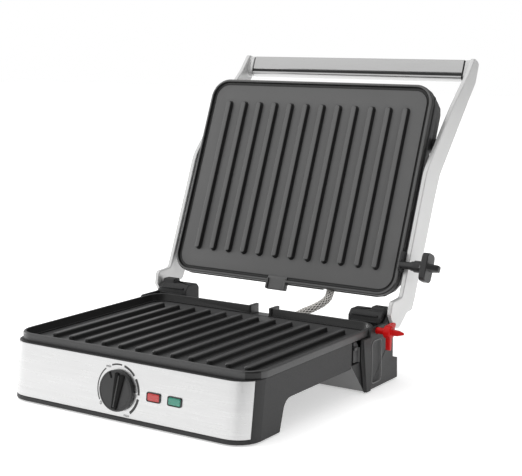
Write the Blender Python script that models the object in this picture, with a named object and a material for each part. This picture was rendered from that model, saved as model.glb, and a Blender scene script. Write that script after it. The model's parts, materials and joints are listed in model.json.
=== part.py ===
"""Panini press with a hinged lid: two ribbed cooking plates, a steel-fronted base, a floating
head on two cast arms, a tubular handle and a rear drip tray.

All sizes below are in millimetres and become metres as each mesh is made. X runs to the right,
Y to the back and Z up from the table. Y is zero at the middle of the lower plate. The lid is
described closed and is then opened by turning its empty, so its outlines line up with the base.
"""

import math

import bmesh
import bpy
from mathutils import Vector

MM = 0.001
GAP = 0.3

# Cooking plates
PLATE_HALF_X = 144.0
PLATE_HALF_Y = 117.0
PLATE_RADIUS = 22.0
RIB_COUNT = 12
RIB_PITCH = 21.0
RIB_HALF_LENGTH = 90.0
RIB_HALF_WIDTH = 3.6
RIB_HEIGHT = 5.0
RIB_TOP_Z = 62.5
LOWER_RIM_Z = RIB_TOP_Z + 4.0
LOWER_FLOOR_Z = RIB_TOP_Z - RIB_HEIGHT
FLANGE_Z = 58.8
PAN_BOTTOM_Z = 53.5
UPPER_RIB_Z = 64.8
UPPER_RIM_Z = 67.3
UPPER_FLOOR_Z = UPPER_RIB_Z + RIB_HEIGHT
UPPER_FLANGE_Z = 74.5
UPPER_PAN_Z = 76.6
SPOUT_X = -1.5
SPOUT_HALF_WIDTH = 11.5
SPOUT_WALL = 4.0
SPOUT_END_Y = 129.0

# Base
BASE_BOTTOM_Z = 1.5
BASE_TOP_Z = 58.5
BASE_HALF_X = 143.0
BASE_HALF_X_TOP = 144.0
BASE_FRONT_Y = -130.5
BASE_FRONT_TOP_Y = -124.0
BASE_BACK_Y = 57.0
BASE_RADIUS = 24.0
WALL = 3.0
MIDDLE_FLOOR_Z = 34.0
LEG_BACK_Y = -76.4
CORNER_STEPS = 6
PANEL_CORNER_STEPS = 4
PANEL_LOW_Z = 6.0
PANEL_HIGH_Z = 58.0
PANEL_THICKNESS = 1.0
REAR_HALF_X = 143.2
REAR_FRONT_Y = BASE_BACK_Y + 0.8
REAR_BACK_Y = 154.0
REAR_SHOULDER_Y = 143.0
REAR_SHOULDER_Z = 23.5
REAR_TOP_Z = 50.0

# Front controls
KNOB_X = -2.5
CONTROL_Z = 30.0
KNOB_RADIUS = 19.6
LENS_X = (39.6, 63.6)
LENS_HALF_WIDTH = 7.0
LENS_HALF_HEIGHT = 3.7

# Hinge, arms and handle
HINGE_Y = 136.5
HINGE_Z = 68.5
LID_OPEN_DEGREES = 111.9
ARM_INNER_X = 148.2
ARM_OUTER_X = 153.2
ARM_SKIN = 2.0
HANDLE_HALF_LENGTH = 140.0
HANDLE_ALONG = (-310.5, -286.5)
HANDLE_HEIGHT = (66.0, 78.5)
HANDLE_WALL = 1.6
SEAM = 1.6

# Head
HEAD_HALF_X = 145.0
HEAD_FRONT_Y = -120.5
HEAD_BACK_Y = 116.0
HEAD_SKIRT_Z = 75.0
HEAD_TOP_Z = 88.5
DOME_TOP_Z = 103.5
DOME_BACK_Y = -30.0
TILT_Y = -60.0
TILT_Z = 95.5
TILT_BOSS_RADIUS = 7.0

# Height knob on the right of the head and release lever on the right of the base
HEIGHT_KNOB_Y = 80.5
HEIGHT_KNOB_Z = 64.0
HEIGHT_KNOB_END_X = 191.0
LEVER_Y = 102.0
LEVER_Z = 62.4
LEVER_END_X = 178.0

# The press stands with the middle of its box over the origin, lid open
LIE_BACK = math.radians(-LID_OPEN_DEGREES)
CENTRE_X = (HEIGHT_KNOB_END_X - ARM_OUTER_X) / 2
CENTRE_Y = 91.5


def finish(name, colour, roughness, metallic=0.0):
    """A Principled material with one colour, roughness and metallic value."""
    made = bpy.data.materials.new(name)
    made.use_nodes = True
    shader = made.node_tree.nodes["Principled BSDF"]
    shader.inputs["Base Color"].default_value = (*colour, 1.0)
    shader.inputs["Roughness"].default_value = roughness
    shader.inputs["Metallic"].default_value = metallic
    return made


def pivot(name, place, parent=None):
    """An empty on a joint's axis. Its place is kept, so that pieces can be drawn around it."""
    empty = bpy.data.objects.new(name, None)
    bpy.context.scene.collection.objects.link(empty)
    empty.empty_display_size = 0.02
    empty["place"] = place
    origin = Vector(parent["place"]) if parent else Vector((0, 0, 0))
    empty.location = (Vector(place) - origin) * MM
    empty.parent = parent
    return empty


def piece(name, shape, look, parent, smooth=True):
    """An object from a bmesh drawn in millimetres in the closed press's frame."""
    bmesh.ops.recalc_face_normals(shape, faces=shape.faces)
    bmesh.ops.scale(shape, vec=(MM, MM, MM), verts=shape.verts)
    mesh = bpy.data.meshes.new(name)
    shape.to_mesh(mesh)
    shape.free()
    if smooth:
        mesh.shade_smooth()
        mesh.set_sharp_from_angle(angle=math.radians(35))
    mesh.materials.append(look)
    made = bpy.data.objects.new(name, mesh)
    bpy.context.scene.collection.objects.link(made)
    made.parent = parent
    made.location = Vector(parent["place"]) * -MM
    return made


def tool(name, shape, target, operation="DIFFERENCE"):
    """A hidden shape that is cut from its target, or joined to it."""
    made = piece(name, shape, target.data.materials[0], target.parent, smooth=False)
    made.location = target.location
    made.hide_render = True
    made.display_type = "WIRE"
    boolean = target.modifiers.new(name, "BOOLEAN")
    boolean.operation = operation
    boolean.solver = "EXACT"
    boolean.object = made
    return made


def stack(rings):
    """A closed bmesh from rings of equally many points, bridged in order and capped."""
    shape = bmesh.new()
    loops = [[shape.verts.new(point) for point in ring] for ring in rings]
    for low, high in zip(loops, loops[1:]):
        for i in range(len(low)):
            j = (i + 1) % len(low)
            shape.faces.new((low[i], low[j], high[j], high[i]))
    shape.faces.new(loops[0])
    shape.faces.new(loops[-1])
    return shape


def arc(centre_x, centre_y, radius, start, end, steps):
    """Points along an arc, both ends included, with angles in degrees."""
    angles = [math.radians(start + (end - start) * i / steps) for i in range(steps + 1)]
    return [(centre_x + radius * math.cos(a), centre_y + radius * math.sin(a)) for a in angles]


def rounded(half_x, front, back, radius, z, centre_x=0.0, steps=4):
    """A rounded rectangle in plan at height z."""
    right, left = centre_x + half_x - radius, centre_x - half_x + radius
    corners = arc(right, front + radius, radius, -90, 0, steps)
    corners += arc(right, back - radius, radius, 0, 90, steps)
    corners += arc(left, back - radius, radius, 90, 180, steps)
    corners += arc(left, front + radius, radius, 180, 270, steps)
    return [(x, y, z) for x, y in corners]


def filleted(corners, steps=4):
    """A closed outline from (a, b, radius) corners, each rounded by an arc."""
    outline = []
    for i, (a, b, radius) in enumerate(corners):
        here = Vector((a, b))
        back = (Vector(corners[i - 1][:2]) - here).normalized()
        ahead = (Vector(corners[(i + 1) % len(corners)][:2]) - here).normalized()
        half = back.angle(ahead) / 2
        if radius == 0 or half > math.radians(88):
            outline.append((a, b))
            continue
        centre = here + (back + ahead).normalized() * radius / math.sin(half)
        first = here + back * radius / math.tan(half) - centre
        last = here + ahead * radius / math.tan(half) - centre
        turn = first.angle_signed(last)
        for step in range(steps + 1):
            angle = -turn * step / steps
            x = first.x * math.cos(angle) - first.y * math.sin(angle)
            y = first.x * math.sin(angle) + first.y * math.cos(angle)
            outline.append((centre.x + x, centre.y + y))
    return outline


def across(outline, left, right):
    """A prism along X from an outline of (y, z) points."""
    return stack([[(x, y, z) for y, z in outline] for x in (left, right)])


def upright(outline, low, high):
    """A prism along Z from an outline of (x, y) points."""
    return stack([[(x, y, z) for x, y in outline] for z in (low, high)])


def box(x, y, z):
    return across([(y[0], z[0]), (y[1], z[0]), (y[1], z[1]), (y[0], z[1])], x[0], x[1])


def rod(sections, y, z, sides=24):
    """A turned pin along X from (x, radius) sections."""
    rings = []
    for x, radius in sections:
        rings.append([(x, y + b, z + c) for b, c in arc(0, 0, radius, 0, 360, sides)[:-1]])
    return stack(rings)


def post(sections, x, y, sides=24):
    """A turned piece along Z from (z, radius) sections."""
    rings = []
    for z, radius in sections:
        rings.append([(x + a, y + b, z) for a, b in arc(0, 0, radius, 0, 360, sides)[:-1]])
    return stack(rings)


def tub_edge(z, inset):
    """Half-width, front and corner radius of the base at height z."""
    rise = (z - BASE_BOTTOM_Z) / (BASE_TOP_Z - BASE_BOTTOM_Z)
    half_x = BASE_HALF_X + (BASE_HALF_X_TOP - BASE_HALF_X) * rise - inset
    front = BASE_FRONT_Y + (BASE_FRONT_TOP_Y - BASE_FRONT_Y) * rise + inset
    return half_x, front, BASE_RADIUS - inset


def tub_ring(z, inset, back):
    """The base in plan: rounded at the front, square at the back."""
    half_x, front, radius = tub_edge(z, inset)
    centre_x = half_x - radius
    centre_y = front + radius
    right = arc(centre_x, centre_y, radius, -90, 0, CORNER_STEPS)
    left = arc(-centre_x, centre_y, radius, 180, 270, CORNER_STEPS)
    return [(x, y, z) for x, y in right + [(half_x, back), (-half_x, back)] + left]


def front_band(low, high, outside, inside):
    """A sheet that follows the base's front and turns part of the way round its corners."""
    half_turn = 90 * PANEL_CORNER_STEPS / CORNER_STEPS
    walls = []
    for z, inset in ((low, outside), (high, outside), (high, inside), (low, inside)):
        half_x, front, radius = tub_edge(z, inset)
        left = arc(radius - half_x, front + radius, radius, 270 - half_turn, 270, PANEL_CORNER_STEPS)
        right = arc(half_x - radius, front + radius, radius, -90, half_turn - 90, PANEL_CORNER_STEPS)
        walls.append([(x, y, z) for x, y in left + right])
    return stack([list(section) for section in zip(*walls)])


def lean():
    """The angle by which the base's front leans back."""
    return math.atan2(BASE_FRONT_TOP_Y - BASE_FRONT_Y, BASE_TOP_Z - BASE_BOTTOM_Z)


def panel_pivot(name, x, parent):
    """An empty on the front panel whose Z axis points out of the panel."""
    front = tub_edge(CONTROL_Z, 0)[1]
    made = pivot(name, (x, front, CONTROL_Z), parent)
    made.rotation_euler.x = math.radians(90) - lean()
    made["place"] = (0.0, 0.0, 0.0)
    return made


def rim_rings(outer, rim_z, floor_z, flange_z, pan_z, up, tuck):
    """Sections of a pressed plate, from the middle of its back round the rim to its face."""
    half_x, front, back = outer
    out = PLATE_RADIUS
    return [
        rounded(half_x - 6.5, front + 6.5, back - 6.5, out - 6, pan_z),
        rounded(half_x - 5.5, front + 5.5, back - 5.5, out - 5, flange_z),
        rounded(half_x - tuck, front + tuck, back - tuck, out, flange_z),
        rounded(half_x - tuck, front + tuck, back - tuck, out, rim_z - up * 3.4),
        rounded(half_x, front, back, out, rim_z - up * 2.6),
        rounded(half_x - 1.0, front + 1.0, back - 1.0, out - 1, rim_z - up * 0.6),
        rounded(half_x - 2.4, front + 2.4, back - 2.4, out - 2, rim_z),
        rounded(half_x - 3.8, front + 3.8, back - 3.8, out - 3, rim_z - up * 0.6),
        rounded(half_x - 6.0, front + 6.0, back - 6.0, out - 5, floor_z),
    ]


def ribs(floor_z, top_z, up):
    """All twelve ribs as one set of bars that start inside the plate."""
    bars = bmesh.new()
    for i in range(RIB_COUNT):
        x = (i - (RIB_COUNT - 1) / 2) * RIB_PITCH
        rings = []
        for z, inset in ((floor_z - up, 0.0), (top_z - up * 1.6, 0.9), (top_z - up * 0.4, 1.7), (top_z, 2.6)):
            half, length = RIB_HALF_WIDTH - inset, RIB_HALF_LENGTH - inset
            rings.append(rounded(half, -length, length, half * 0.8, z, centre_x=x, steps=2))
        bar = stack(rings)
        mesh = bpy.data.meshes.new("rib")
        bar.to_mesh(mesh)
        bar.free()
        bars.from_mesh(mesh)
        bpy.data.meshes.remove(mesh)
    return bars


def element_path(half_x, front, back, radius, terminal_x, z):
    """The bends of a tubular heating element, open at the back."""
    corners = [(terminal_x, back), (half_x, back), (half_x, front), (-half_x, front), (-half_x, back)]
    corners.append((-terminal_x, back))
    path = [corners[0]]
    for before, here, after in zip(corners, corners[1:], corners[2:]):
        here, to_back, to_front = Vector(here), Vector(before) - Vector(here), Vector(after) - Vector(here)
        start = here + to_back.normalized() * radius
        end = here + to_front.normalized() * radius
        centre = start + end - here
        for step in range(7):
            blend = (start - centre) * math.cos(math.radians(15 * step))
            blend += (end - centre) * math.sin(math.radians(15 * step))
            path.append(tuple(centre + blend))
    path.append(corners[-1])
    return [(x, y, z) for x, y in path]


def tube(name, points, radius, look, parent, resolution=2):
    """A round tube along a polyline, with filled ends."""
    data = bpy.data.curves.new(name, "CURVE")
    data.dimensions = "3D"
    data.bevel_depth = radius * MM
    data.bevel_resolution = resolution
    data.use_fill_caps = True
    spline = data.splines.new("POLY")
    spline.points.add(len(points) - 1)
    for target, point in zip(spline.points, points):
        target.co = (*(Vector(point) * MM), 1.0)
    data.materials.append(look)
    made = bpy.data.objects.new(name, data)
    bpy.context.scene.collection.objects.link(made)
    made.parent = parent
    made.location = Vector(parent["place"]) * -MM
    return made


def smooth_route(corners, count):
    """Evenly counted points of a Catmull-Rom curve through the given points."""
    ends = [2 * corners[0] - corners[1], *corners, 2 * corners[-1] - corners[-2]]
    spans = len(corners) - 1
    route = []
    for i in range(count):
        along = spans * i / (count - 1)
        k = min(int(along), spans - 1)
        t = along - k
        a, b, c, d = ends[k : k + 4]
        route.append(0.5 * (2 * b + (c - a) * t + (2 * a - 5 * b + 4 * c - d) * t**2
                            + (3 * b - a - 3 * c + d) * t**3))
    return route


def make_lower_plate(base, looks):
    outer = (PLATE_HALF_X, -PLATE_HALF_Y, PLATE_HALF_Y)
    plate = piece(
        "lower_plate",
        stack(rim_rings(outer, LOWER_RIM_Z, LOWER_FLOOR_Z, FLANGE_Z, PAN_BOTTOM_Z, 1, 0.4)),
        looks["nonstick_lower"],
        base,
    )
    tool("lower_rib_bars", ribs(LOWER_FLOOR_Z, RIB_TOP_Z, 1), plate, "UNION")
    out = SPOUT_HALF_WIDTH + SPOUT_WALL
    spout = [(PLATE_HALF_Y - 4.5, LOWER_FLOOR_Z - 3), (SPOUT_END_Y, LOWER_FLOOR_Z - 4.5),
             (SPOUT_END_Y, LOWER_RIM_Z + 0.7), (PLATE_HALF_Y - 4.5, LOWER_RIM_Z + 0.2)]
    tool("lower_spout_block", across(spout, SPOUT_X - out, SPOUT_X + out), plate, "UNION")
    groove = [(PLATE_HALF_Y - 8, LOWER_FLOOR_Z), (SPOUT_END_Y + 5, LOWER_FLOOR_Z - 2),
              (SPOUT_END_Y + 5, LOWER_RIM_Z + 5), (PLATE_HALF_Y - 8, LOWER_RIM_Z + 5)]
    edges = (SPOUT_X - SPOUT_HALF_WIDTH, SPOUT_X + SPOUT_HALF_WIDTH)
    tool("lower_spout_groove", across(groove, *edges), plate)


def make_upper_plate(head, looks):
    middle = (HEAD_FRONT_Y + HEAD_BACK_Y) / 2
    outer = (PLATE_HALF_X, middle - PLATE_HALF_Y, middle + PLATE_HALF_Y)
    plate = piece(
        "upper_plate",
        stack(rim_rings(outer, UPPER_RIM_Z, UPPER_FLOOR_Z, UPPER_FLANGE_Z, UPPER_PAN_Z, -1, 2.6)),
        looks["nonstick_upper"],
        head,
    )
    bars = ribs(UPPER_FLOOR_Z, UPPER_RIB_Z, -1)
    bmesh.ops.translate(bars, vec=(0, middle, 0), verts=bars.verts)
    tool("upper_rib_bars", bars, plate, "UNION")
    edge = outer[2]
    tab = [(SPOUT_X - 14.5, edge - 5), (SPOUT_X - 12, edge + 8.5), (SPOUT_X + 12, edge + 8.5),
           (SPOUT_X + 14.5, edge - 5)]
    tool("upper_spout_tab", upright(tab, UPPER_RIM_Z + 0.6, UPPER_FLANGE_Z - 1), plate, "UNION")


def make_base_shell(base, looks):
    """The black tub: a hollow front leg and a shallow well that holds the heating element."""
    shell = piece("base_shell", stack([tub_ring(z, 0, BASE_BACK_Y) for z in (BASE_BOTTOM_Z, BASE_TOP_Z)]),
                  looks["black_moulding"], base)
    arch = [(LEG_BACK_Y, -5, 0), (LEG_BACK_Y + 10, 31, 12), (BASE_BACK_Y + 20, 31, 0), (BASE_BACK_Y + 20, -5, 0)]
    tool("arch_cutter", across(filleted(arch), -160, 160), shell)
    well = piece("well_cutter_shape", stack([tub_ring(z, WALL, BASE_BACK_Y - WALL) for z in (-3, 52)]),
                 looks["black_moulding"], base, smooth=False)
    well.hide_render = True
    well.display_type = "WIRE"
    kept = [(LEG_BACK_Y - 3.3, -8, 0), (LEG_BACK_Y + 7.5, MIDDLE_FLOOR_Z, 9),
            (BASE_BACK_Y + 20, MIDDLE_FLOOR_Z, 0), (BASE_BACK_Y + 20, -8, 0)]
    tool("kept_floor", across(filleted(kept), -160, 160), well)
    boolean = shell.modifiers.new("well", "BOOLEAN")
    boolean.operation = "DIFFERENCE"
    boolean.solver = "EXACT"
    boolean.object = well
    mouth = stack([rounded(PLATE_HALF_X - 5, -PLATE_HALF_Y + 5, BASE_BACK_Y + 40, 17, z) for z in (50, 65)])
    tool("mouth_cutter", mouth, shell)
    tool("panel_recess", front_band(PANEL_LOW_Z - GAP, PANEL_HIGH_Z + 3, -2, PANEL_THICKNESS + GAP), shell)
    return shell


def make_front_panel(base, looks):
    """The stainless front, wrapped round both front corners."""
    return piece("front_panel", front_band(PANEL_LOW_Z, PANEL_HIGH_Z, 0, PANEL_THICKNESS),
                 looks["brushed_steel"], base)


def panel_holes(base, panel, shell):
    """Clearance for the control shaft and two windows for the lenses."""
    for target, label in ((panel, "panel"), (shell, "shell")):
        hole = tool(f"shaft_hole_{label}", post([(-12, 4.6), (3, 4.6)], 0, 0), target)
        place_on_panel(hole, KNOB_X)
        for side, x in zip(("red", "green"), LENS_X):
            window = stack([rounded(LENS_HALF_WIDTH + GAP, -LENS_HALF_HEIGHT - GAP, LENS_HALF_HEIGHT + GAP,
                                    2.0, z, steps=2) for z in (-12, 3)])
            place_on_panel(tool(f"{side}_window_{label}", window, target), x)


def place_on_panel(made, x):
    front = tub_edge(CONTROL_Z, 0)[1]
    made.location = Vector((x, front, CONTROL_Z)) * MM
    made.rotation_euler.x = math.radians(90) - lean()


def make_lenses(base, looks):
    """Two snap-in lenses, each with a flange behind it and a neon lamp in its back."""
    for side, x in zip(("red", "green"), LENS_X):
        wide, high = LENS_HALF_WIDTH, LENS_HALF_HEIGHT
        rings = [rounded(wide, -high, high, 1.8, -7.5, steps=2), rounded(wide, -high, high, 1.8, 0.3, steps=2),
                 rounded(wide - 0.8, 0.8 - high, high - 0.8, 1.2, 1.0, steps=2)]
        lens = piece(f"{side}_lens", stack(rings), looks[f"{side}_lens"], base)
        place_on_panel(lens, x)
        lamp = piece(f"{side}_pilot_lamp", post([(-22, 1.6), (-21, 2.4), (-9, 2.4), (-8, 1.4)], 0, 0, 12),
                     looks["clear_glass"], base)
        place_on_panel(lamp, x)


def make_control(base, looks):
    """The temperature knob with its shaft, and the thermostat that the shaft enters."""
    axis = panel_pivot("control_axis", KNOB_X, base)
    skirt = [(0.8, KNOB_RADIUS), (4.0, KNOB_RADIUS), (5.2, KNOB_RADIUS - 0.9), (5.6, KNOB_RADIUS - 2.0)]
    knob = piece("control_knob", post(skirt, 0, 0, 48), looks["knob_black"], axis)
    ridge = [(-4.8, -16.0), (4.8, -16.0), (3.0, 16.0), (-3.0, 16.0)]
    top = [(x * 0.45, y * 0.92) for x, y in ridge]
    grip = stack([[(x, y, 4.0) for x, y in ridge], [(x, y, 12.5) for x, y in top]])
    tool("grip_ridge", grip, knob, "UNION")
    piece("control_shaft", post([(-15, 3.0), (0.5, 3.0)], 0, 0, 16), looks["zinc"], axis)
    body = stack([rounded(17, -11, 10, 3, z, steps=2) for z in (-30, -15.5)])
    place_on_panel(piece("thermostat", body, looks["thermostat_body"], base), KNOB_X)


def make_bottom_cover(base, looks):
    front = tub_edge(5, WALL + 0.6)
    cover = stack([rounded(front[0], front[1], LEG_BACK_Y - 5.2, 10, z) for z in (4.0, 6.5)])
    plate = piece("front_bottom_cover", cover, looks["black_moulding"], base)
    round_front = stack([tub_ring(z, WALL + 0.6, LEG_BACK_Y - 4.5) for z in (3.0, 8.0)])
    tool("cover_outline", round_front, plate, "INTERSECT")


def make_heater(base, looks):
    path = element_path(112, -80, 42, 26, 26, 45.5)
    tube("lower_heating_element", path, 3.2, looks["element_steel"], base)
    sheet = [rounded(126, -88, 49, 14, 36.0), rounded(130, -92, 52, 18, 41.0),
             rounded(129, -91, 51, 17, 41.0), rounded(125, -87, 48, 13, 37.0)]
    piece("lower_reflector", stack(sheet), looks["aluminised_sheet"], base)


def make_rear_housing(base, looks):
    """The rear foot: wiring room on both sides of a bay for the drip tray."""
    outline = [(REAR_FRONT_Y, REAR_TOP_Z, 0), (REAR_FRONT_Y, 33, 0), (84, BASE_BOTTOM_Z, 2),
               (REAR_BACK_Y, BASE_BOTTOM_Z, 1), (REAR_BACK_Y - 1, REAR_SHOULDER_Z, 1),
               (REAR_SHOULDER_Y, REAR_SHOULDER_Z + 1, 1), (REAR_SHOULDER_Y - 1, REAR_TOP_Z, 2)]
    block = piece("rear_housing", across(filleted(outline, 2), -REAR_HALF_X, REAR_HALF_X),
                  looks["black_moulding"], base)
    tool("tray_bay", box((-62, 62), (93, 170), (5, 20.8)), block)
    well = (SPOUT_X - 14, SPOUT_X + 14)
    tool("drain_well", box(well, (122, 138.5), (15, 60)), block)
    for side in (-1, 1):
        inner, outer = sorted((side * 20, side * 136.5))
        foot = sorted((side * 66, side * 139))
        label = "right" if side > 0 else "left"
        tool(f"{label}_wiring_room", box((inner, outer), (50, 139), (30, 47)), block)
        tool(f"{label}_latch_recess", box(sorted((side * 138, side * 150)), (50, 73.8), (34.5, 60)), block)
        room = [(72, 27), (92, -5), (150, -5), (149, 20), (139, 21), (139, 27)]
        tool(f"{label}_foot_room", across(room, *foot), block)
        cover = [(91, 4), (149, 4), (149, 6.5), (89.6, 6.5)]
        piece(f"{label}_foot_cover", across(cover, foot[0] + 0.6, foot[1] - 0.6), looks["black_moulding"], base)
    tool("conduit_hole", post([(40, 7.6), (60, 7.6)], 30, 130, 16), block)
    tool("gland_hole", along_y([(137, 5.0), (165, 5.0)], -100, 38), block)


def along_y(sections, x, z, sides=16):
    """A turned piece along Y from (y, radius) sections."""
    return stack([[(x + a, y, z + b) for a, b in arc(0, 0, radius, 0, 360, sides)[:-1]] for y, radius in sections])


def make_inlet(base, looks):
    """The gland through which the mains lead would enter, with its bore left open."""
    gland = piece("mains_inlet_gland", along_y([(139.6, 4.7), (143.3, 4.7), (143.3, 7.5), (149, 6.5)], -100, 38),
                  looks["rubber"], base)
    tool("gland_bore", along_y([(136, 3.2), (153, 3.2)], -100, 38), gland)


def make_drip_tray(tray_axis, looks):
    """The grease tray, pulled out at the back by the lip of its front."""
    rings = [rounded(57, 98, 151, 5, 5.6), rounded(60, 94, 153.5, 6, 20), rounded(58.5, 95.5, 152, 5, 20),
             rounded(55.8, 99.2, 149.8, 4, 7.1)]
    tray = piece("drip_tray", stack(rings), looks["black_moulding"], tray_axis)
    lip = [(151, 12), (157, 12), (158.5, 15), (158.5, 20), (151, 20)]
    tool("tray_lip", across(lip, -40, 40), tray, "UNION")
    tool("tray_inside", stack([rounded(55.8, 99.2, 149.8, 4, 7.1), rounded(58.6, 95.4, 152.1, 5, 20.8)]), tray)


def make_feet(base, looks):
    for label, x, y in (("front_left", -118, -104), ("front_right", 118, -104),
                        ("rear_left", -118, 120), ("rear_right", 118, 120)):
        foot = post([(0.0, 7.5), (0.8, 8.5), (3.7, 9.0)], x, y, 20)
        piece(f"{label}_foot", foot, looks["rubber"], base)


def make_hinge_side(base, looks, side):
    """One side of the hinge on the base: the side cover and the hinge block."""
    label = "right" if side > 0 else "left"

    def outward(a, b):
        return sorted((side * a, side * b))

    skin = [(82, BASE_BOTTOM_Z, 0), (REAR_BACK_Y, BASE_BOTTOM_Z, 1), (REAR_BACK_Y - 1, REAR_SHOULDER_Z, 1),
            (REAR_SHOULDER_Y, REAR_SHOULDER_Z + 1, 1), (REAR_SHOULDER_Y - 1, 57.8, 2), (74, 57.8, 1), (74, 36, 0)]
    cover = piece(f"{label}_hinge_bracket", across(filleted(skin, 2), *outward(143.5, 145.5)),
                  looks["black_moulding"], base)
    rib = [(74, 57.8, 1), (91, 57.8, 1), (91, BASE_BOTTOM_Z, 0), (82, BASE_BOTTOM_Z, 1)]
    tool(f"{label}_front_rib", across(filleted(rib, 2), *outward(144.6, 147.7)), cover, "UNION")
    back = REAR_SHOULDER_Y - 1
    cheek = [(88, 53, 2), (back, 53, 2), (back, 74, 4), (128, 74, 4), (120, 66.6, 3), (112, 66.6, 2), (88, 66.6, 4)]
    tool(f"{label}_cheek", across(filleted(cheek, 2), *outward(144.8, 147.7)), cover, "UNION")
    tool(f"{label}_pin_hole_cover", rod([(side * 140, 4.3), (side * 152, 4.3)], HINGE_Y, HINGE_Z), cover)
    if side > 0:
        tool("lever_hole", rod([(140, 3.8), (152, 3.8)], LEVER_Y, LEVER_Z), cover)
    outline = [(117.6, 50.3, 0), (117.6, 71, 1.5), (123, 76.5, 2), (139, 76.5, 3), (143, 72, 2), (143, 50.3, 0)]
    block = piece(f"{label}_hinge_block", across(filleted(outline, 2), *outward(105, 143.2)),
                  looks["black_moulding"], base)
    bump = [(124.5, 74, 0), (125.5, 80.5, 2), (137, 80.5, 2), (138, 74, 0)]
    tool(f"{label}_bump", across(filleted(bump, 2), *outward(128, 143.2)), block, "UNION")
    tool(f"{label}_pin_hole_block", rod([(side * 118, 4.3), (side * 150, 4.3)], HINGE_Y, HINGE_Z), block)


def arm_outline():
    """An arm's outline seen from the right, measured from the hinge pin with the lid closed."""
    corners = [(-23, 1.5, 6), (-161.5, 1.5, 40), (-246, 35, 60), (-289.5, 57, 10), (-311.5, 64.5, 4), (-311.5, 79, 6),
               (-287.5, 79.5, 8), (-264.5, 70.5, 25), (-166, 34, 30), (-137.5, 32.5, 10), (-26.5, 31, 6),
               (-15.5, 29.5, 4), (-10.5, 19, 5), (8.5, 8, 6), (10, -2, 5), (0.5, -16, 5), (-13.5, -18.5, 5),
               (-18.5, -8, 4)]
    return [(HINGE_Y + y, HINGE_Z + z) for y, z in filleted(corners)]


def handle_outline(inset):
    low_y, high_y = HINGE_Y + HANDLE_ALONG[0] + inset, HINGE_Y + HANDLE_ALONG[1] - inset
    low_z, high_z = HINGE_Z + HANDLE_HEIGHT[0] + inset, HINGE_Z + HANDLE_HEIGHT[1] - inset
    small, large = max(3.0 - inset, 0.8), max(6.0 - inset, 0.8)
    return filleted([(low_y, low_z, small), (high_y, low_z, large), (high_y, high_z, large), (low_y, high_z, small)])


def make_arms(lid, looks):
    for side in (-1, 1):
        label = "right" if side > 0 else "left"
        arm = piece(f"{label}_arm", across(arm_outline(), *sorted((side * ARM_INNER_X, side * ARM_OUTER_X))),
                    looks["arm_aluminium"], lid)
        socket = across(handle_outline(0), *sorted((side * (HANDLE_HALF_LENGTH + SEAM), side * (ARM_OUTER_X - 1))))
        tool(f"{label}_handle_socket", socket, arm, "UNION")
        for joint, y, z, reach in (("hinge", HINGE_Y, HINGE_Z, 122), ("tilt", TILT_Y, TILT_Z, 137)):
            bore = ((side * 140, 4.3), (side * (ARM_OUTER_X - ARM_SKIN), 4.3))
            tool(f"{label}_{joint}_bore", rod(bore, y, z), arm)
            tip = ((reach, 3.0), (reach + 1, 4.0), (ARM_OUTER_X - ARM_SKIN - GAP, 4.0))
            pin = rod([(side * x, radius) for x, radius in tip], y, z)
            piece(f"{label}_{joint}_pin", pin, looks["zinc"], lid)
        seal = across(handle_outline(0.6), *sorted((side * (HANDLE_HALF_LENGTH + GAP),
                                                    side * (HANDLE_HALF_LENGTH + SEAM - GAP))))
        piece(f"{label}_handle_seal", seal, looks["rubber"], lid)


def make_handle(lid, looks):
    bar = piece("handle_bar", across(handle_outline(0), -HANDLE_HALF_LENGTH, HANDLE_HALF_LENGTH),
                looks["brushed_steel"], lid)
    tool("handle_bore", across(handle_outline(HANDLE_WALL), -HANDLE_HALF_LENGTH - 5, HANDLE_HALF_LENGTH + 5), bar)


def head_rings(inset, low, high):
    """The flat-topped rear of the head, with a rounded upper edge."""
    half_x, front, back = HEAD_HALF_X - inset, HEAD_FRONT_Y + inset, HEAD_BACK_Y - inset
    return [
        rounded(half_x, front, back, 24, low),
        rounded(half_x - 0.8, front + 0.8, back - 3.5, 24, high - 5),
        rounded(half_x - 2.2, front + 2.2, back - 6.0, 23, high - 1.5),
        rounded(half_x - 5.5, front + 5.5, back - 10, 20, high),
    ]


def dome_rings(inset, low):
    """The raised front of the head."""
    half_x, front, back = HEAD_HALF_X - 1.2 - inset, HEAD_FRONT_Y + 1.4 + inset, DOME_BACK_Y - inset
    return [
        rounded(half_x, front, back + 3, 22, low),
        rounded(half_x - 1.2, front + 3, back - 11, 22, DOME_TOP_Z - inset - 6),
        rounded(half_x - 3.5, front + 6, back - 14, 20, DOME_TOP_Z - inset - 1.8),
        rounded(half_x - 8, front + 11, back - 20, 16, DOME_TOP_Z - inset),
    ]


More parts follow.
